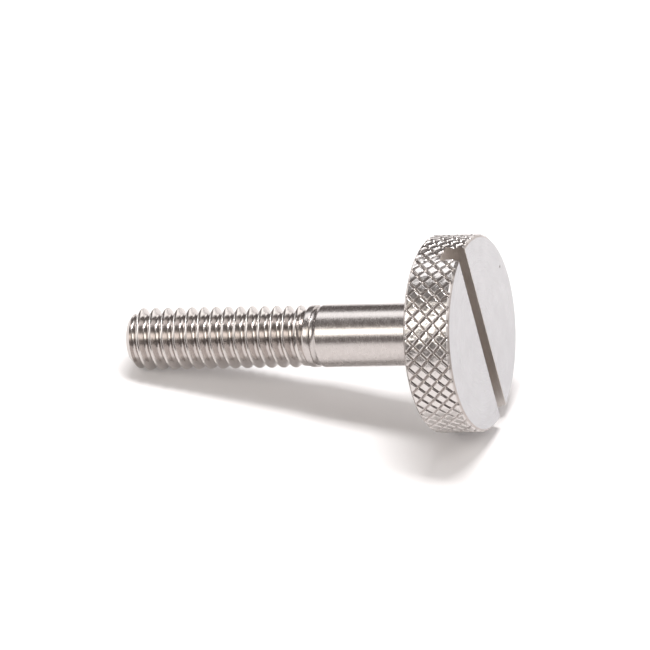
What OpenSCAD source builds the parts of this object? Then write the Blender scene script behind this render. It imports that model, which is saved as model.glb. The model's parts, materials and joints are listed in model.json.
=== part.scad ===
// Thumb screw: a one-piece turned screw with a wide, thin, diamond-knurled head,
// a driver slot across its face, a plain shank, a relief groove and a
// right-hand thread.
// It lies as a dropped screw comes to rest: the rim of the head and one crest
// near the tip touch the ground at z = 0, and +X runs from the tip to the head.
// Millimetres throughout.

/* [Length] */
// Length from the underside of the head to the tip
under_head_length = 31.75; // [22:0.05:60]
// Length of the plain shank, from the underside of the head to its taper
shank_length = 11.65; // [4:0.05:18]

/* [Head] */
// Diameter of the head over the knurl
head_diameter = 19.4; // [14:0.1:30]
// Thickness of the head
head_thickness = 4.8; // [3.4:0.05:8]
// Size of the chamfer at both ends of the knurl
head_chamfer = 0.28; // [0.1:0.01:0.6]

/* [Knurl] */
// Diamonds around the head
knurl_count = 42; // [24:1:60]
// Diamonds across the head
knurl_rows = 3; // [1:1:6]
// Depth of the knurl's grooves
knurl_depth = 0.21; // [0.05:0.01:0.35]
// Part of each diamond that is left flat on top
knurl_flat = 0.67; // [0.3:0.01:0.85]

/* [Driver slot] */
// Width of the slot
slot_width = 2.05; // [0.8:0.05:3.5]
// Depth of the slot
slot_depth = 2.0; // [0.5:0.05:2.2]
// Turn of the slot about the screw's axis
slot_angle = 2.9; // [-90:0.1:90]

/* [Shank and relief] */
// Diameter of the plain shank
shank_diameter = 6.15; // [6.13:0.01:6.6]
// Length of the taper from the shank down to the relief groove
taper_length = 0.3; // [0.1:0.05:2]
// Width of the relief groove's floor
groove_width = 0.37; // [0.2:0.01:1]
// Diameter at the floor of the relief groove
groove_diameter = 5.74; // [5.2:0.01:5.9]
// Length of the land between the relief groove and the thread
land_length = 0.62; // [0.4:0.01:1.5]
// Diameter of the land
land_diameter = 6.1; // [6:0.01:6.12]

/* [Thread] */
// Major diameter of the thread
thread_diameter = 6.12; // [6.05:0.01:6.13]
// Pitch of the thread, 20 to the inch
thread_pitch = 1.27; // [1:0.01:1.4]
// Included angle of the thread's flanks
thread_angle = 60; // [55:1:65]
// Length beside the land in which the thread's grooves run out
runout_length = 1.0; // [0.6:0.1:3]
// Diameter of the rod where the grooves have run out
runout_diameter = 5.86; // [5.6:0.01:5.98]
// Turn of the thread about the screw's axis
thread_turn = 190; // [0:1:359]

/* [Tip] */
// Diameter of the flat end of the tip
tip_diameter = 4.4; // [3:0.05:4.6]

/* [Fineness] */
// Flats in each turn of the thread
thread_steps = 36; // [24:2:60]

/* [Hidden] */

$fn = 96;

// Distances along the screw's axis start at the underside of the head.
// The head is on the positive side and the tip on the negative side.
tip_z = -under_head_length;
taper_end_z = -shank_length - taper_length;
groove_end_z = taper_end_z - groove_width;
land_end_z = groove_end_z - land_length;

head_r = head_diameter / 2;
face_r = head_r - head_chamfer;
shank_r = shank_diameter / 2;
land_r = land_diameter / 2;
groove_r = groove_diameter / 2;
thread_r = thread_diameter / 2;
runout_r = runout_diameter / 2;
tip_r = tip_diameter / 2;

// Unified thread form: a flat of P/8 on the crest and P/4 at the root.
crest_flat = thread_pitch / 8;
root_flat = thread_pitch / 4;
flank_run = (thread_pitch - crest_flat - root_flat) / 2;
root_r = thread_r - flank_run / tan(thread_angle / 2);

// How deep one solid is sunk into the next, so that they join.
sink = 0.3;

// ---- Knurled head -------------------------------------------------------

// The diamonds stand on a lattice. Rows are half a diamond apart along the axis,
// and the two cut rows at the ends hold half diamonds.
last_row = 2 * knurl_rows;
row_gap = (head_thickness - 2 * head_chamfer) / last_row;
half_turn = 180 / knurl_count;

// A point at a radius, an angle and a distance along the axis.
function polar(r, angle, z) = [r * cos(angle), r * sin(angle), z];

function row_z(row) = head_chamfer + row * row_gap;
// Angle of the centre of diamond i in a row; odd rows are staggered. A groove of
// the end rows faces down, so that the head stands on the diamonds beside it.
function centre_angle(row, i) = (2 * i + 1 + row % 2) * half_turn;

// Each row has knurl_count cells of these five points, first to last: where the
// grooves cross before the diamond, then the top's corners at its first side,
// last side, tip side and head side.
CROSS = 0;
SIDE_A = 1;
SIDE_B = 2;
TOP_LOW = 3;
TOP_HIGH = 4;
CELL = 5;

function cell_points(row, i) =
    let (angle = centre_angle(row, i), z = row_z(row), side = knurl_flat * half_turn,
         reach = knurl_flat * row_gap)
    [polar(head_r - knurl_depth, angle - half_turn, z),
     polar(head_r, angle - side, z),
     polar(head_r, angle + side, z),
     polar(head_r, angle, row == 0 ? z : z - reach),
     polar(head_r, angle, row == last_row ? z : z + reach)];

function cell_index(row, i, point) = (row * knurl_count + (i + knurl_count) % knurl_count) * CELL + point;

// Where the grooves cross above and below a diamond: a cell's crossing point
// lies half a diamond before its own centre, so odd and even rows differ by one.
function cross_index(row, i, from_row) = cell_index(row, from_row % 2 == 0 ? i : i + 1, CROSS);

function diamond_faces(row, i) =
    let (before = cell_index(row, i, CROSS), after = cell_index(row, i + 1, CROSS),
         a = cell_index(row, i, SIDE_A), b = cell_index(row, i, SIDE_B),
         low = cell_index(row, i, TOP_LOW), high = cell_index(row, i, TOP_HIGH))
    concat(
        row == last_row ? [] :
            let (up = cross_index(row + 1, i, row))
            [[before, high, a], [before, up, high], [up, after, high], [after, b, high]],
        row == 0 ? [] :
            let (down = cross_index(row - 1, i, row))
            [[before, a, low], [before, low, down], [down, low, after], [after, low, b]],
        row == 0 ? [[a, high, b]] :
        row == last_row ? [[a, b, low]] :
            [[a, high, low], [low, high, b]]);

// The chamfers end in a ring on each flat face, with a point below each point
// of the cut row: crossing, first side and last side.
RING = 3;
function ring_points(row, z) =
    [for (i = [0 : knurl_count - 1])
        let (angle = centre_angle(row, i), side = knurl_flat * half_turn)
        each [polar(face_r, angle - half_turn, z),
              polar(face_r, angle - side, z),
              polar(face_r, angle + side, z)]];

lattice_size = (last_row + 1) * knurl_count * CELL;
ring_size = knurl_count * RING;
function ring_index(top, k) = lattice_size + (top ? ring_size : 0) + (k + ring_size) % ring_size;
function edge_index(row, k) =
    let (i = floor(k / RING) % knurl_count) cell_index(row, i, k % RING);

function chamfer_faces(row, top) =
    [for (k = [0 : ring_size - 1])
        let (p = edge_index(row, k), q = edge_index(row, k + 1),
             r = ring_index(top, k), s = ring_index(top, k + 1))
        each top ? [[p, r, q], [q, r, s]] : [[p, q, r], [q, s, r]]];

module knurled_blank() {
    points = concat(
        [for (row = [0 : last_row], i = [0 : knurl_count - 1]) each cell_points(row, i)],
        ring_points(0, 0),
        ring_points(last_row, head_thickness));
    faces = concat(
        [for (row = [0 : last_row], i = [0 : knurl_count - 1]) each diamond_faces(row, i)],
        chamfer_faces(0, false),
        chamfer_faces(last_row, true),
        [[for (k = [0 : ring_size - 1]) ring_index(false, k)]],
        [[for (k = [ring_size - 1 : -1 : 0]) ring_index(true, k)]]);
    polyhedron(points, faces, convexity = 4);
}

module driver_slot() {
    rotate([0, 0, slot_angle])
        translate([-head_diameter, -slot_width / 2, head_thickness - slot_depth])
            cube([2 * head_diameter, slot_width, 2 * slot_depth]);
}

module head() {
    difference() {
        knurled_blank();
        driver_slot();
    }
}

// ---- Plain shank, relief groove and land --------------------------------

module shank() {
    rotate_extrude()
        polygon([
            [0, land_end_z],
            [land_r, land_end_z],
            [land_r, groove_end_z],
            [groove_r, groove_end_z],
            [groove_r, taper_end_z],
            [shank_r, -shank_length],
            [shank_r, sink],
            [0, sink]]);
}

// ---- Thread -------------------------------------------------------------

// Columns of the surface follow the helix. Each turn has six: both edges of the
// crest, the middle of a flank, both edges of the root and the next mid flank.
COLUMNS = [-crest_flat / 2, crest_flat / 2, crest_flat / 2 + flank_run / 2,
           crest_flat / 2 + flank_run, crest_flat / 2 + flank_run + root_flat,
           thread_pitch - crest_flat / 2 - flank_run / 2];
column_count = len(COLUMNS);
thread_end_z = land_end_z + sink;
crest_z = -thread_pitch * thread_turn / 360;
first_turn = floor((tip_z - crest_z) / thread_pitch) - 2;
turn_count = ceil((thread_end_z - tip_z) / thread_pitch) + 4;
last_column = turn_count * column_count - 1;

function column_z(column, step) =
    crest_z + COLUMNS[column % column_count]
    + thread_pitch * (first_turn + floor(column / column_count) + step / thread_steps);

function clamp(x, low, high) = max(low, min(high, x));
function mix(a, b, t) = a + (b - a) * clamp(t, 0, 1);

// Radius of the plain thread form at a distance from the middle of a crest.
function form_r(distance) =
    let (d = abs(distance - thread_pitch * round(distance / thread_pitch)))
    mix(thread_r, root_r, (d - crest_flat / 2) / flank_run);

// Radius of the real thread: chamfered at the tip and, beside the land, cut down
// to the run-out diameter while its grooves rise to it.
runout_start_z = land_end_z - runout_length;
function thread_surface_r(z, step) =
    let (form = form_r(z - crest_z - thread_pitch * step / thread_steps),
         chamfer = tip_r + z - tip_z,
         floor_r = mix(root_r, runout_r, (z - runout_start_z) / runout_length),
         ceiling_r = mix(thread_r, runout_r, (z - runout_start_z) / crest_flat))
    min(max(form, floor_r), ceiling_r, chamfer);

// The first and last column in use at a step; those past them lie on the ends.
function first_used(step) =
    max([for (c = [0 : last_column]) column_z(c, step) <= tip_z ? c : 0]);
function last_used(step) =
    min([for (c = [0 : last_column]) column_z(c, step) >= thread_end_z ? c : last_column]);

FIRST = [for (step = [0 : thread_steps - 1]) first_used(step)];
LAST = [for (step = [0 : thread_steps - 1]) last_used(step)];

function thread_point(step, column) =
    let (z = clamp(column_z(column, step), tip_z, thread_end_z))
    polar(thread_surface_r(z, step), 360 * step / thread_steps, z);

// After a full turn the helix meets the first step, one turn of columns on.
function thread_index(step, column) =
    step == thread_steps ? thread_index(0, min(column + column_count, last_column))
    : step * (last_column + 1) + clamp(column, FIRST[step], LAST[step]);

function whole(faces) = [for (f = faces) if (f[0] != f[1] && f[1] != f[2] && f[2] != f[0]) f];

module thread() {
    points = [for (step = [0 : thread_steps - 1], c = [0 : last_column]) thread_point(step, c)];
    sides = [for (step = [0 : thread_steps - 1], c = [0 : last_column - 1])
        let (p = thread_index(step, c), q = thread_index(step + 1, c),
             r = thread_index(step, c + 1), s = thread_index(step + 1, c + 1))
        each whole([[p, r, s], [p, s, q]])];
    tip_face = [for (step = [0 : thread_steps - 1]) thread_index(step, 0)];
    end_face = [for (step = [thread_steps - 1 : -1 : 0]) thread_index(step, last_column)];
    polyhedron(points, concat(sides, [tip_face], [end_face]), convexity = 8);
}

// ---- Rest ---------------------------------------------------------------

// The head touches the ground at the corners of the two half diamonds beneath it,
// and the thread at the point beneath it that stops the shallowest tilt.
touch_r = head_r * cos((1 - knurl_flat) * half_turn);
rest_tilt = atan(min([for (c = [FIRST[0] : LAST[0]])
    let (p = thread_point(0, c)) (touch_r - p[0]) / (head_chamfer - p[2])]));
rest_height = touch_r * cos(rest_tilt) - head_chamfer * sin(rest_tilt);
head_end_x = max(head_thickness * cos(rest_tilt) + face_r * sin(rest_tilt),
                 (head_thickness - head_chamfer) * cos(rest_tilt) + head_r * sin(rest_tilt));
tip_end_x = min(tip_z * cos(rest_tilt) - tip_r * sin(rest_tilt),
                (tip_z + thread_r - tip_r) * cos(rest_tilt) - thread_r * sin(rest_tilt));

module thumb_screw() {
    color("#c9c8c6")
        translate([-(head_end_x + tip_end_x) / 2, 0, rest_height])
            rotate([0, 90 - rest_tilt, 0])
                union() {
                    head();
                    shank();
                    thread();
                }
}

thumb_screw();
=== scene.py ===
"""Looks of the thumb screw: one finely meshed screw, its steel, the floor, the lamps and the camera."""

import json
import math

import bpy
import numpy as np
from mathutils import Matrix, Vector


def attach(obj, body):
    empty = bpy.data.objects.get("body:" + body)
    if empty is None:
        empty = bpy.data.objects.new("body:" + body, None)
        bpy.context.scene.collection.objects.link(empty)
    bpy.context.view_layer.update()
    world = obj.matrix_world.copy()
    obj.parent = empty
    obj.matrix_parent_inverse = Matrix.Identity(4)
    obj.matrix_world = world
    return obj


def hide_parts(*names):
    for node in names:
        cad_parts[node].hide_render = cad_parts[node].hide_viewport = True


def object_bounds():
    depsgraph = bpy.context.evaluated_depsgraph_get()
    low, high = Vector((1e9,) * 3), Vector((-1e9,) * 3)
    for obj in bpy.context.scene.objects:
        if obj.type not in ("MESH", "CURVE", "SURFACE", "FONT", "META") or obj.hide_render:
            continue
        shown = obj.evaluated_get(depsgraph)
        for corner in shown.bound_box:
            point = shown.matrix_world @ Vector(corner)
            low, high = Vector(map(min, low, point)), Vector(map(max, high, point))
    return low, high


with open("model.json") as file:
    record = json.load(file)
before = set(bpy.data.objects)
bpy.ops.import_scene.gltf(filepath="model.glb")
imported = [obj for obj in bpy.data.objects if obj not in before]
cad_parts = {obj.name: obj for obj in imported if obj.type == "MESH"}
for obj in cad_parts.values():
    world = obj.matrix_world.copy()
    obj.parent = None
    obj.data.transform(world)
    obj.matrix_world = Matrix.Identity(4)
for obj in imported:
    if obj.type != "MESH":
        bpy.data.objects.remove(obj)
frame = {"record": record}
cad_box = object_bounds()

# Metres to a millimetre and to a micron.
MM = 0.001
MICRON = 0.000001

# ---- Millimetres and degrees, the same as in the part's source -------------
# Distances along the axis start at the underside of the head: head +, tip -.

UNDER_HEAD_LENGTH = 31.75
SHANK_LENGTH = 11.65
HEAD_R = 19.4 / 2
HEAD_THICKNESS = 4.8
HEAD_CHAMFER = 0.28
KNURL_COUNT = 42
KNURL_ROWS = 3
KNURL_DEPTH = 0.21
KNURL_FLAT = 0.67
SLOT_WIDTH = 2.05
SLOT_DEPTH = 2.0
SLOT_ANGLE = 2.9
SHANK_R = 6.15 / 2
LAND_R = 6.1 / 2
TAPER_LENGTH = 0.3
LAND_LENGTH = 0.62
GROOVE_WIDTH = 0.37
GROOVE_R = 5.74 / 2
THREAD_R = 6.12 / 2
THREAD_PITCH = 1.27
HALF_THREAD_ANGLE = 30
RUNOUT_LENGTH = 1.0
RUNOUT_R = 5.86 / 2
THREAD_TURN = 190
TIP_R = 4.4 / 2

FACE_R = HEAD_R - HEAD_CHAMFER
TIP_Z = -UNDER_HEAD_LENGTH
TAPER_END_Z = -SHANK_LENGTH - TAPER_LENGTH
GROOVE_END_Z = TAPER_END_Z - GROOVE_WIDTH
LAND_END_Z = GROOVE_END_Z - LAND_LENGTH
RUNOUT_START_Z = LAND_END_Z - RUNOUT_LENGTH
CREST_FLAT = THREAD_PITCH / 8
ROOT_FLAT = THREAD_PITCH / 4
FLANK_RUN = (THREAD_PITCH - CREST_FLAT - ROOT_FLAT) / 2
ROOT_R = THREAD_R - FLANK_RUN / math.tan(math.radians(HALF_THREAD_ANGLE))
SLOT_FLOOR_Z = HEAD_THICKNESS - SLOT_DEPTH

# How far the thread, the shank and the head reach into each other before they are joined.
SINK = 0.3

# Steps round the axis, and round a rounded corner.
LATHE_STEPS = 256
THREAD_STEPS = 96
CORNER_STEPS = 3


# ---- Mesh helpers ----------------------------------------------------------


def new_object(name, points, faces):
    """A mesh object in the scene."""
    mesh = bpy.data.meshes.new(name)
    mesh.from_pydata([tuple(p) for p in points], [], [tuple(int(i) for i in f) for f in faces])
    mesh.validate()
    mesh.update()
    made = bpy.data.objects.new(name, mesh)
    bpy.context.scene.collection.objects.link(made)
    return made


def baked(obj):
    """A plain mesh of the object with its modifiers applied."""
    graph = bpy.context.evaluated_depsgraph_get()
    return bpy.data.meshes.new_from_object(
        obj.evaluated_get(graph), preserve_all_data_layers=True, depsgraph=graph)


def combine(target, tool, operation):
    """Applies a boolean with the tool, which is then removed."""
    cut = target.modifiers.new("combine", "BOOLEAN")
    cut.operation = operation
    cut.solver = "MANIFOLD"
    cut.object = tool
    mesh = baked(target)
    target.modifiers.clear()
    target.data = mesh
    bpy.data.objects.remove(tool)
    return target


def fillet(corners):
    """Rounds the corners of an outline. Each corner is (z, r, radius of its rounding)."""
    outline = []
    for i, (z, r, radius) in enumerate(corners):
        here = np.array([z, r])
        if radius == 0:
            outline.append(here)
            continue
        before = np.array(corners[i - 1][:2]) - here
        after = np.array(corners[i + 1][:2]) - here
        before /= np.linalg.norm(before)
        after /= np.linalg.norm(after)
        half = math.acos(np.clip(before @ after, -1, 1)) / 2
        reach = radius / math.tan(half)
        middle = here + (before + after) / np.linalg.norm(before + after) * radius / math.sin(half)
        start, end = here + before * reach - middle, here + after * reach - middle
        for k in range(CORNER_STEPS + 1):
            t = k / CORNER_STEPS
            turn = math.pi - 2 * half
            weight = (math.sin((1 - t) * turn), math.sin(t * turn))
            outline.append(middle + (start * weight[0] + end * weight[1]) / math.sin(turn))
    return outline


def lathe(name, corners):
    """A solid of revolution about the axis, from fillet's corners in order from tip side to head side."""
    outline = fillet(corners)
    inner = [p for p in outline if p[1] > 0]
    angles = np.arange(LATHE_STEPS) * 2 * math.pi / LATHE_STEPS
    points = [(p[1] * math.cos(a), p[1] * math.sin(a), p[0]) for p in inner for a in angles]
    faces = []
    for ring in range(len(inner) - 1):
        for k in range(LATHE_STEPS):
            after = (k + 1) % LATHE_STEPS
            low, high = ring * LATHE_STEPS, (ring + 1) * LATHE_STEPS
            faces.append((low + k, low + after, high + after, high + k))
    last = (len(inner) - 1) * LATHE_STEPS
    faces.append(list(range(LATHE_STEPS - 1, -1, -1)))
    faces.append(list(range(last, last + LATHE_STEPS)))
    return new_object(name, points, faces)


def soft_min(a, b, blend):
    """The smaller of two values, rounded off where they differ by less than blend."""
    near = np.maximum(blend - np.abs(a - b), 0) / blend
    return np.minimum(a, b) - near * near * blend / 4


def soft_max(a, b, blend):
    """The larger of two values, rounded off where they differ by less than blend."""
    return -soft_min(-a, -b, blend)


# ---- Thread ----------------------------------------------------------------

# Over how much of the radius a crest's and a root's corners are rounded off, and where the mesh has
# columns about each corner.
THREAD_ROUNDING = 0.19
ROUNDING_COLUMNS = (-0.11, -0.055, 0.0, 0.055, 0.11)


def thread_radius(z, step):
    """Radius of the thread at a distance along the axis, with its grooves run out at the land."""
    crest_z = THREAD_PITCH * (step / THREAD_STEPS - THREAD_TURN / 360)
    d = np.abs((z - crest_z + THREAD_PITCH / 2) % THREAD_PITCH - THREAD_PITCH / 2)
    flank = THREAD_R - (d - CREST_FLAT / 2) / math.tan(math.radians(HALF_THREAD_ANGLE))
    runout = np.clip((z - RUNOUT_START_Z) / RUNOUT_LENGTH, 0, 1)
    floor_r = ROOT_R + (RUNOUT_R - ROOT_R) * runout
    form = soft_max(flank, floor_r, THREAD_ROUNDING)
    return soft_min(form, np.full_like(form, THREAD_R), THREAD_ROUNDING)


def threaded_rod():
    """The thread as a closed mesh whose columns follow the helix, longer than the rod."""
    corners = (-CREST_FLAT / 2, CREST_FLAT / 2, CREST_FLAT / 2 + FLANK_RUN,
               CREST_FLAT / 2 + FLANK_RUN + ROOT_FLAT)
    offsets = np.array(sorted(c + b for c in corners for b in ROUNDING_COLUMNS))
    low_z, high_z = TIP_Z - SINK, LAND_END_Z + SINK
    turns = math.ceil((high_z - low_z) / THREAD_PITCH) + 4
    first = math.floor(low_z / THREAD_PITCH) - 1
    helix = (np.arange(turns)[:, None] * THREAD_PITCH + offsets).ravel()
    count = len(offsets)
    columns = len(helix)
    points, used = [], []
    for step in range(THREAD_STEPS):
        crest = THREAD_PITCH * (first + step / THREAD_STEPS - THREAD_TURN / 360)
        z = helix + crest
        inside = np.where((z > low_z) & (z < high_z))[0]
        used.append((inside[0] - 1, inside[-1] + 1))
        z = np.clip(z, low_z, high_z)
        r = thread_radius(z, step)
        angle = 2 * math.pi * step / THREAD_STEPS
        points += list(zip(r * math.cos(angle), r * math.sin(angle), z))

    def index(step, column):
        if step == THREAD_STEPS:
            return index(0, min(column + count, columns - 1))
        return step * columns + min(max(column, used[step][0]), used[step][1])

    faces = []
    for step in range(THREAD_STEPS):
        for c in range(columns - 1):
            quad = [index(step, c), index(step + 1, c), index(step + 1, c + 1), index(step, c + 1)]
            whole = [p for i, p in enumerate(quad) if p != quad[i - 1]]
            if len(set(whole)) > 2:
                faces.append(whole)
    faces.append([index(step, 0) for step in range(THREAD_STEPS - 1, -1, -1)])
    faces.append([index(step, columns - 1) for step in range(THREAD_STEPS)])
    return new_object("rod", points, faces)


def rod_blank():
    """The turned outline that the thread is cut from: chamfered tip, crests and cut-down end."""
    clearance = 0.2
    widest = THREAD_R + clearance
    cut_slope = (THREAD_R - RUNOUT_R) / CREST_FLAT
    return lathe("rod_blank", [
        (TIP_Z, 0, 0), (TIP_Z, TIP_R, 0.08), (TIP_Z + widest - TIP_R, widest, 0),
        (RUNOUT_START_Z - clearance / cut_slope, widest, 0),
        (RUNOUT_START_Z + CREST_FLAT, RUNOUT_R, 0.15),
        (LAND_END_Z, RUNOUT_R, 0), (LAND_END_Z, widest, 0), (LAND_END_Z + 2 * SINK, widest, 0),
        (LAND_END_Z + 2 * SINK, 0, 0)])


# ---- Knurled head ----------------------------------------------------------

HALF_TURN = math.pi / KNURL_COUNT
LAST_ROW = 2 * KNURL_ROWS
ROW_GAP = (HEAD_THICKNESS - 2 * HEAD_CHAMFER) / LAST_ROW
# Where a diamond's mesh has lines, from one groove to the next.
KNURL_GRID = np.array([-1, -0.93, -0.77, -0.70, -0.64, -0.58, 0, 0.58, 0.64, 0.70, 0.77, 0.93, 1])
# As parts of a groove's depth: its flat floor, and the rounding of its edges and of crossings.
GROOVE_FLOOR = 0.93
GROOVE_ROUNDING = 0.2
CROSSING_ROUNDING = 0.15
# Parts of a row to which lattice places are rounded, to match the points of neighbouring diamonds.
LATTICE_PARTS = 1e4


def groove_drop(across):
    """Depth of one groove at a distance from the middle of a diamond, 1 being the groove's line."""
    slope = (np.abs(across) - KNURL_FLAT) / (1 - KNURL_FLAT)
    side = soft_max(slope, np.zeros_like(slope), GROOVE_ROUNDING)
    return soft_min(side, np.full_like(slope, GROOVE_FLOOR), GROOVE_ROUNDING)


def knurled_cylinder():
    """Diamonds on a lattice, a row longer at both ends than the head."""
    u, v = np.meshgrid(KNURL_GRID, KNURL_GRID, indexing="ij")
    drop = KNURL_DEPTH * soft_max(groove_drop(u), groove_drop(v), CROSSING_ROUNDING)
    drop = np.maximum(drop, 0)
    size = len(KNURL_GRID)
    index_of, points, faces = {}, [], []

    def vertex(angle_key, z_key, r, angle, z):
        """The index of a point, which is made where it is new."""
        key = (angle_key, z_key)
        if key not in index_of:
            index_of[key] = len(points)
            points.append((r * math.cos(angle), r * math.sin(angle), z))
        return index_of[key]

    full_turn = round(2 * KNURL_COUNT * LATTICE_PARTS)
    for row in range(-1, LAST_ROW + 2):
        for i in range(KNURL_COUNT):
            centre = 2 * i + 1 + row % 2
            grid = np.empty((size, size), int)
            for a in range(size):
                for b in range(size):
                    angle = centre + (u[a, b] + v[a, b]) / 2
                    level = row + (u[a, b] - v[a, b]) / 2
                    grid[a, b] = vertex(
                        round(angle * LATTICE_PARTS) % full_turn, round(level * LATTICE_PARTS),
                        HEAD_R - drop[a, b], angle * HALF_TURN, HEAD_CHAMFER + level * ROW_GAP)
            for a in range(size - 1):
                for b in range(size - 1):
                    faces.append((grid[a, b], grid[a, b + 1], grid[a + 1, b + 1], grid[a + 1, b]))
    return points, faces


def closed_knurl():
    """Closes both zigzag ends of the knurled cylinder with a cone to a point on the axis."""
    points, faces = knurled_cylinder()
    edges = dict.fromkeys((f[i - 1], p) for f in faces for i, p in enumerate(f))
    open_edges = [e for e in edges if (e[1], e[0]) not in edges]
    low, high = len(points), len(points) + 1
    cone = 4 * ROW_GAP
    points += [(0, 0, -cone), (0, 0, HEAD_THICKNESS + cone)]
    for start, end in open_edges:
        faces.append((end, start, high if points[start][2] > HEAD_THICKNESS / 2 else low))
    return new_object("knurl", points, faces)


def head_blank():
    """The head's outline with its chamfered edges, which trims the knurled cylinder."""
    clearance, rounding = 0.1, 0.05
    reach = HEAD_CHAMFER + clearance
    return lathe("head_blank", [
        (0, 0, 0), (0, FACE_R, rounding), (reach, HEAD_R + clearance, 0),
        (HEAD_THICKNESS - reach, HEAD_R + clearance, 0), (HEAD_THICKNESS, FACE_R, rounding),
        (HEAD_THICKNESS, 0, 0)])


def slot_cutter():
    """A bar across the face, flared at the top so that the slot's edges are broken."""
    half, edge, over = SLOT_WIDTH / 2, 0.04, 1.0
    section = [(-half, SLOT_FLOOR_Z), (half, SLOT_FLOOR_Z), (half, HEAD_THICKNESS - edge),
               (half + edge + over, HEAD_THICKNESS + over), (-half - edge - over, HEAD_THICKNESS + over),
               (-half, HEAD_THICKNESS - edge)]
    turn = math.radians(SLOT_ANGLE)
    points = []
    for along in (-2 * HEAD_R, 2 * HEAD_R):
        for across, z in section:
            points.append((along * math.cos(turn) - across * math.sin(turn),
                           along * math.sin(turn) + across * math.cos(turn), z))
    n = len(section)
    faces = [[k, (k + 1) % n, n + (k + 1) % n, n + k] for k in range(n)]
    faces += [list(range(n - 1, -1, -1)), list(range(n, 2 * n))]
    return new_object("slot_cutter", points, faces)


def shank_body():
    """The land, the relief groove, the short taper and the plain shank."""
    return lathe("shank", [
        (LAND_END_Z, 0, 0), (LAND_END_Z, LAND_R, 0.04), (GROOVE_END_Z, LAND_R, 0.03),
        (GROOVE_END_Z, GROOVE_R, 0.05), (TAPER_END_Z, GROOVE_R, 0.8), (-SHANK_LENGTH, SHANK_R, 0.2),
        (SINK, SHANK_R, 0), (SINK, 0, 0)])


def build_screw():
    """The whole screw in millimetres about its axis, as one closed mesh."""
    rod = combine(threaded_rod(), rod_blank(), "INTERSECT")
    head = combine(closed_knurl(), head_blank(), "INTERSECT")
    head = combine(head, slot_cutter(), "DIFFERENCE")
    screw = combine(shank_body(), rod, "UNION")
    screw = combine(screw, head, "UNION")
    screw.name = screw.data.name = "screw"
    return screw


# ---- Placement -------------------------------------------------------------


def screw_axis():
    """The middle of the head's underside and the direction from tip to head, from the record's mount."""
    mount = next(m for m in frame["record"]["mounts"] if m["name"] == "head_seat")
    x, _, z = mount["pos_m"]
    return Vector((x, 0, z)), -Vector(mount["axis"]).normalized()


ORIGIN, AXIS = screw_axis()
ACROSS = Vector((0, 1, 0))
DOWN = ACROSS.cross(AXIS)
PLACE = Matrix((
    (DOWN.x, ACROSS.x, AXIS.x, ORIGIN.x),
    (DOWN.y, ACROSS.y, AXIS.y, ORIGIN.y),
    (DOWN.z, ACROSS.z, AXIS.z, ORIGIN.z),
    (0, 0, 0, 1)))


# ---- Materials -------------------------------------------------------------


class Nodes:
    """A short way to make a material's nodes and link them."""

    def __init__(self, name):
        self.material = bpy.data.materials.new(name)
        self.material.use_nodes = True
        self.tree = self.material.node_tree
        self.shader = self.tree.nodes["Principled BSDF"]
        self.place = self.screw_coordinates()
        self.x, self.y, self.z = self.add("SeparateXYZ", {"Vector": self.place}).outputs

    def add(self, kind, inputs=None, **settings):
        node = self.tree.nodes.new("ShaderNode" + kind)
        for key, value in settings.items():
            setattr(node, key, value)
        for key, value in (inputs or {}).items():
            self.put(value, node.inputs[key])
        return node

    def put(self, value, socket):
        """Links another node's socket, or sets a plain value."""
        if isinstance(value, bpy.types.NodeSocket):
            self.tree.links.new(value, socket)
        else:
            socket.default_value = value

    def math(self, operation, *values):
        node = self.add("Math", operation=operation)
        for value, socket in zip(values, node.inputs):
            self.put(value, socket)
        return node.outputs[0]

    def noise(self, vector, scale, detail, rough):
        node = self.add("TexNoise", {"Vector": vector, "Scale": scale, "Detail": detail, "Roughness": rough})
        return node.outputs["Fac"]

    def spread(self, value, low, high, low_to=0.0, high_to=1.0):
        """Carries a range of a value over to another range."""
        node = self.add("MapRange", {
            "Value": value, "From Min": low, "From Max": high, "To Min": low_to, "To Max": high_to})
        return node.outputs["Result"]

    def combined(self, x, y, z):
        return self.add("CombineXYZ", {"X": x, "Y": y, "Z": z}).outputs[0]

    def screw_coordinates(self):
        """Millimetres in the screw's own frame, with Z along its axis from the head's underside."""
        mapping = self.add("Mapping", {
            "Vector": self.add("TexCoord").outputs["Object"], "Location": ORIGIN,
            "Rotation": PLACE.to_euler(), "Scale": (MM, MM, MM)}, vector_type="TEXTURE")
        return mapping.outputs[0]

    def radius(self):
        """Distance from the axis."""
        squares = self.math("MULTIPLY", self.x, self.x), self.math("MULTIPLY", self.y, self.y)
        return self.math("SQRT", self.math("ADD", *squares))

    def ring_noise(self, value, scale):
        """Fine rings about the axis: noise that changes with the value, and little round the axis."""
        safe = self.math("MAXIMUM", self.radius(), 0.001)
        cosine, sine = self.math("DIVIDE", self.x, safe), self.math("DIVIDE", self.y, safe)
        return self.noise(self.combined(cosine, sine, value), scale, 3.0, 0.6)

    def color_between(self, value, low, high):
        """A colour between two, by a value from 0 to 1. Each is a colour or another node's socket."""
        node = self.add("Mix", {"Factor": value}, data_type="RGBA")
        for color, socket in ((low, node.inputs[6]), (high, node.inputs[7])):
            self.put((*color, 1) if isinstance(color, tuple) else color, socket)
        return node.outputs[2]

    def bump(self, height, microns, strength, normal=None):
        """Adds the height, which stands for that many microns from 0 to 1, to the normal."""
        node = self.add("Bump", {"Height": height, "Distance": microns * MICRON, "Strength": strength})
        if normal is not None:
            self.put(normal, node.inputs["Normal"])
        return node.outputs[0]

    def metal(self, color, roughness, normal):
        """The material, as bare metal."""
        self.shader.inputs["Metallic"].default_value = 1.0
        self.put(color, self.shader.inputs["Base Color"])
        self.put(roughness, self.shader.inputs["Roughness"])
        self.put(normal, self.shader.inputs["Normal"])
        return self.material


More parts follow.
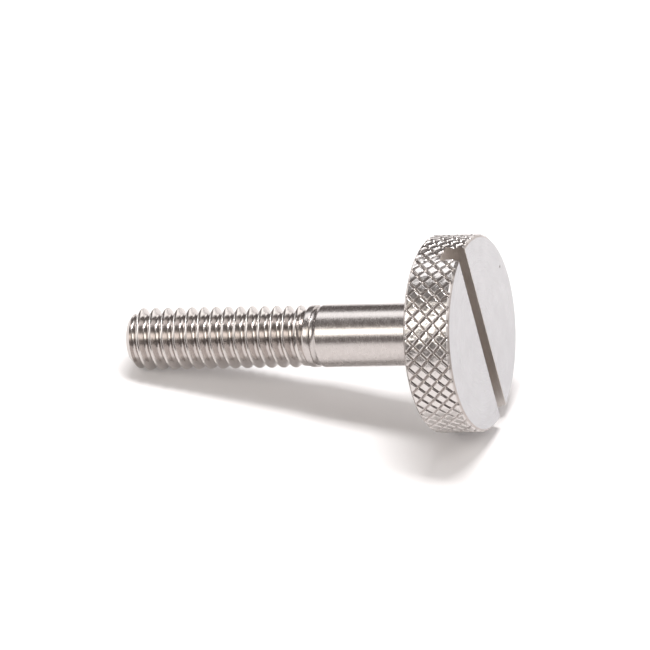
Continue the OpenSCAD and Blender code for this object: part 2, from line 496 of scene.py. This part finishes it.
def shank_steel():
    """Fine turned and polished steel: faint lines around the axis and a slight mottle."""
    n = Nodes("steel_turned")
    lines = n.ring_noise(n.math("MULTIPLY", n.z, 9.0), 1.6)
    mottle = n.noise(n.place, 2.2, 3.0, 0.55)
    color = n.color_between(n.spread(mottle, 0.3, 0.7), (0.515, 0.48, 0.465), (0.575, 0.54, 0.525))
    rough = n.math("ADD", n.spread(lines, 0.3, 0.7, 0.20, 0.26), n.spread(mottle, 0.3, 0.7, 0.0, 0.05))
    return n.metal(color, rough, n.bump(mottle, 10, 0.3, n.bump(lines, 3, 0.5)))


# A small dark speck on the face: its middle, and the radii where it starts and stops to fade.
SPECK_X, SPECK_Y = -2.65, 7.9
SPECK_INNER, SPECK_OUTER = 0.09, 0.19
SPECK_COLOR = (0.12, 0.10, 0.09)


def face_steel():
    """Fine facing marks in rings, a slight mottle and one dark speck."""
    n = Nodes("steel_face")
    rings = n.ring_noise(n.math("MULTIPLY", n.radius(), 8.0), 1.5)
    mottle = n.noise(n.place, 0.6, 3.0, 0.5)
    plain = n.color_between(n.spread(mottle, 0.3, 0.7), (0.505, 0.505, 0.52), (0.545, 0.545, 0.56))
    away = n.add("VectorMath", {0: n.place, 1: (SPECK_X, SPECK_Y, HEAD_THICKNESS)},
                 operation="DISTANCE").outputs["Value"]
    color = n.color_between(n.spread(away, SPECK_INNER, SPECK_OUTER), SPECK_COLOR, plain)
    return n.metal(color, n.spread(rings, 0.3, 0.7, 0.2, 0.3), n.bump(rings, 2, 0.3))


def knurl_steel():
    """Pressed steel: diamonds with a coarse grain and a slight swell, and rougher grooves, whose darker
    colour is painted shade.
    """
    n = Nodes("steel_knurl")
    grain = n.noise(n.place, 3.0, 3.0, 0.6)
    swell = n.noise(n.place, 1.1, 1.0, 0.5)
    height = n.spread(n.radius(), HEAD_R - KNURL_DEPTH, HEAD_R - 0.03)
    # Painted shade: the colour is darker deep in the grooves and lighter on the diamonds' tops.
    color = n.color_between(height, (0.43, 0.39, 0.37), (0.64, 0.61, 0.595))
    rough = n.math("ADD", n.spread(height, 0.0, 1.0, 0.30, 0.20), n.spread(grain, 0.3, 0.7, 0.0, 0.08))
    return n.metal(color, rough, n.bump(swell, 200, 0.5, n.bump(grain, 40, 0.5)))


def thread_steel():
    """Cut steel, with painted shade: a little brighter on the crests than in the roots."""
    n = Nodes("steel_thread")
    grain = n.noise(n.place, 3.0, 3.0, 0.6)
    height = n.spread(n.radius(), ROOT_R, THREAD_R)
    # Painted shade: the colour is darker in the roots than on the crests.
    color = n.color_between(height, (0.54, 0.50, 0.48), (0.62, 0.585, 0.565))
    return n.metal(color, n.spread(grain, 0.3, 0.7, 0.18, 0.26), n.bump(grain, 10, 0.2))


def slot_steel():
    """Milled steel with streaks along the slot."""
    n = Nodes("steel_slot")
    stretched = n.combined(n.math("MULTIPLY", n.x, 0.4), n.y, n.math("MULTIPLY", n.z, 9.0))
    streaks = n.noise(stretched, 2.0, 3.0, 0.6)
    color = n.color_between(n.spread(streaks, 0.3, 0.7), (0.60, 0.56, 0.53), (0.72, 0.68, 0.65))
    return n.metal(color, n.spread(streaks, 0.3, 0.7, 0.3, 0.42), n.bump(streaks, 10, 0.3))


SHANK, FACE, KNURL, THREAD, SLOT = range(5)
# Room for rounding when a face is told by its place, and how square to the axis a flat face is.
CLOSE = 0.001
SQUARE = 0.9


def assign_materials(mesh):
    """Gives each face its finish by its place on the screw, in millimetres about its axis."""
    mesh.materials.clear()
    for material in (shank_steel(), face_steel(), knurl_steel(), thread_steel(), slot_steel()):
        mesh.materials.append(material)
    count = len(mesh.polygons)
    centre = np.empty(count * 3)
    normal = np.empty(count * 3)
    mesh.polygons.foreach_get("center", centre)
    mesh.polygons.foreach_get("normal", normal)
    centre, normal = centre.reshape(-1, 3), normal.reshape(-1, 3)
    z = centre[:, 2]
    turn = math.radians(SLOT_ANGLE)
    across = np.abs(centre[:, 1] * math.cos(turn) - centre[:, 0] * math.sin(turn))
    radius = np.hypot(centre[:, 0], centre[:, 1])
    rim_edge, slot_edge = 0.06, 0.05
    index = np.full(count, SHANK)
    index[z < LAND_END_Z + CLOSE] = THREAD
    index[(z > CLOSE) & (radius > FACE_R - rim_edge)] = KNURL
    index[(z > HEAD_THICKNESS - 2 * CLOSE) & (normal[:, 2] > SQUARE)] = FACE
    index[(z < CLOSE) & (normal[:, 2] < -SQUARE) & (radius > SHANK_R)] = FACE
    in_slot = (z > SLOT_FLOOR_Z - CLOSE) & (z < HEAD_THICKNESS - slot_edge)
    index[in_slot & (across < SLOT_WIDTH / 2 + CLOSE)] = SLOT
    mesh.polygons.foreach_set("material_index", index.astype(np.int32))


SHARP_ANGLE = 38
FACE_WEIGHT = 60


def shade(obj):
    """Smooth shading with sharp turned edges, and normals led by the larger faces."""
    obj.data.shade_smooth()
    obj.data.set_sharp_from_angle(angle=math.radians(SHARP_ANGLE))
    weigh = obj.modifiers.new("weigh", "WEIGHTED_NORMAL")
    weigh.keep_sharp = True
    weigh.weight = FACE_WEIGHT
    mesh = baked(obj)
    obj.modifiers.clear()
    obj.data = mesh


def keep_in_box(mesh, low, high):
    """Trims what finer steps leave outside the CAD's box: microns, and 0.05 mm at the crest by the tip."""
    place = np.empty(len(mesh.vertices) * 3)
    mesh.vertices.foreach_get("co", place)
    place = np.clip(place.reshape(-1, 3), np.array(low) + MICRON, np.array(high) - MICRON)
    mesh.vertices.foreach_set("co", place.ravel())
    mesh.update()


screw = build_screw()
assign_materials(screw.data)
screw.data.transform(PLACE @ Matrix.Diagonal((MM, MM, MM, 1)))
keep_in_box(screw.data, *cad_box)
shade(screw)
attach(screw, "root")
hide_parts("thumb_screw")


# ---- Floor, lamps and camera -----------------------------------------------

FLOOR_SIZE = 3.0
FLOOR_COLOR = (0.86, 0.84, 0.84)
# Brightness that the floor has of its own, to the camera and in reflections.
FLOOR_LIFT = 0.1


def white_floor():
    """The ground under the screw, matt and white."""
    half = FLOOR_SIZE / 2
    floor = new_object("floor", [(-half, -half, 0), (half, -half, 0), (half, half, 0), (-half, half, 0)],
                       [(0, 1, 2, 3)])
    material = bpy.data.materials.new("white_floor")
    material.use_nodes = True
    shader = material.node_tree.nodes["Principled BSDF"]
    shader.inputs["Base Color"].default_value = (*FLOOR_COLOR, 1)
    shader.inputs["Roughness"].default_value = 0.9
    shader.inputs["Specular IOR Level"].default_value = 0.0
    tree = material.node_tree
    rays = tree.nodes.new("ShaderNodeLightPath")
    seen = tree.nodes.new("ShaderNodeMath")
    seen.operation = "MAXIMUM"
    tree.links.new(rays.outputs["Is Camera Ray"], seen.inputs[0])
    tree.links.new(rays.outputs["Is Glossy Ray"], seen.inputs[1])
    lift = tree.nodes.new("ShaderNodeMath")
    lift.operation = "MULTIPLY"
    lift.inputs[1].default_value = FLOOR_LIFT
    tree.links.new(seen.outputs[0], lift.inputs[0])
    shader.inputs["Emission Color"].default_value = (1, 1, 1, 1)
    tree.links.new(lift.outputs[0], shader.inputs["Emission Strength"])
    floor.data.materials.append(material)


def softbox(name, direction, distance, width, height, power, color):
    """A rectangular lamp that faces the screw, with its width along X, or as near to that as it can be."""
    lamp = bpy.data.lights.new(name, "AREA")
    lamp.shape = "RECTANGLE"
    lamp.size, lamp.size_y = width, height
    lamp.energy = power
    lamp.color = color
    obj = bpy.data.objects.new(name, lamp)
    bpy.context.scene.collection.objects.link(obj)
    toward = Vector(direction).normalized()
    obj.location = toward * distance
    across = Vector((1, 0, 0))
    across = (across - toward * across.dot(toward)).normalized()
    up = toward.cross(across)
    obj.rotation_euler = Matrix((across, up, toward)).transposed().to_euler()
    obj.visible_camera = False


LAMP_DISTANCE = 0.6

# Name, azimuth (0 near side, 90 head side) and elevation, angular size across and up, all in degrees,
# brightness, and colour.
LAMPS = (
    ("main", 180, 80, 24, 13, 25.5, (1.0, 1.0, 1.0)),
    ("main_side", 100, 54, 32, 22, 1.5, (1.0, 1.0, 1.0)),
    ("near_left", -46, 31, 28, 22, 3.1, (1.0, 0.98, 0.94)),
    ("near", -18, 46, 30, 26, 1.6, (1.0, 0.96, 0.87)),
    ("far_left", -126, 48, 30, 26, 1.7, (0.98, 0.99, 1.0)),
    ("far_low", 148, 11, 60, 18, 1.7, (1.0, 0.99, 0.98)),
    ("head_side", 85, 28, 80, 40, 0.9, (1.0, 0.98, 0.97)),
)


def light_screw():
    """The lamps, all at one distance from the middle of the ground under the screw."""
    for name, azimuth, elevation, across, up, brightness, color in LAMPS:
        a, e = math.radians(azimuth), math.radians(elevation)
        direction = (math.sin(a) * math.cos(e), -math.cos(a) * math.cos(e), math.sin(e))
        width, height = (2 * LAMP_DISTANCE * math.tan(math.radians(v / 2)) for v in (across, up))
        power = brightness * math.pi * width * height
        softbox(name, direction, LAMP_DISTANCE, width, height, power, color)


ROOM_COLOR = (0.165, 0.147, 0.143)


def dim_room():
    """Weak light from all round."""
    world = bpy.data.worlds.new("dim_room")
    bpy.context.scene.world = world
    world.use_nodes = True
    world.node_tree.nodes["Background"].inputs["Color"].default_value = (*ROOM_COLOR, 1)


# Metres and degrees. The view's width is measured where the screw is, and the aim is from ORIGIN.
CAMERA_DISTANCE = 3.0
CAMERA_AZIMUTH = 16.6
CAMERA_ELEVATION = 34.6
VIEW_WIDTH = 0.0637
AIM_RIGHT, AIM_UP = -0.01094, 0.00087


def photo_camera():
    """A long lens on the near side, a little towards the head."""
    azimuth, elevation = math.radians(CAMERA_AZIMUTH), math.radians(CAMERA_ELEVATION)
    back = Vector((math.sin(azimuth) * math.cos(elevation),
                   -math.cos(azimuth) * math.cos(elevation), math.sin(elevation)))
    right = Vector((math.cos(azimuth), math.sin(azimuth), 0))
    up = back.cross(right)
    data = bpy.data.cameras.new("camera")
    data.sensor_width = 36
    data.lens = data.sensor_width * CAMERA_DISTANCE / VIEW_WIDTH
    data.clip_end = 10
    camera = bpy.data.objects.new("camera", data)
    bpy.context.scene.collection.objects.link(camera)
    camera.location = ORIGIN + right * AIM_RIGHT + up * AIM_UP + back * CAMERA_DISTANCE
    camera.rotation_euler = Matrix((right, up, back)).transposed().to_euler()
    bpy.context.scene.camera = camera


white_floor()
light_screw()
dim_room()
photo_camera()
bpy.context.scene.view_settings.view_transform = "Standard"
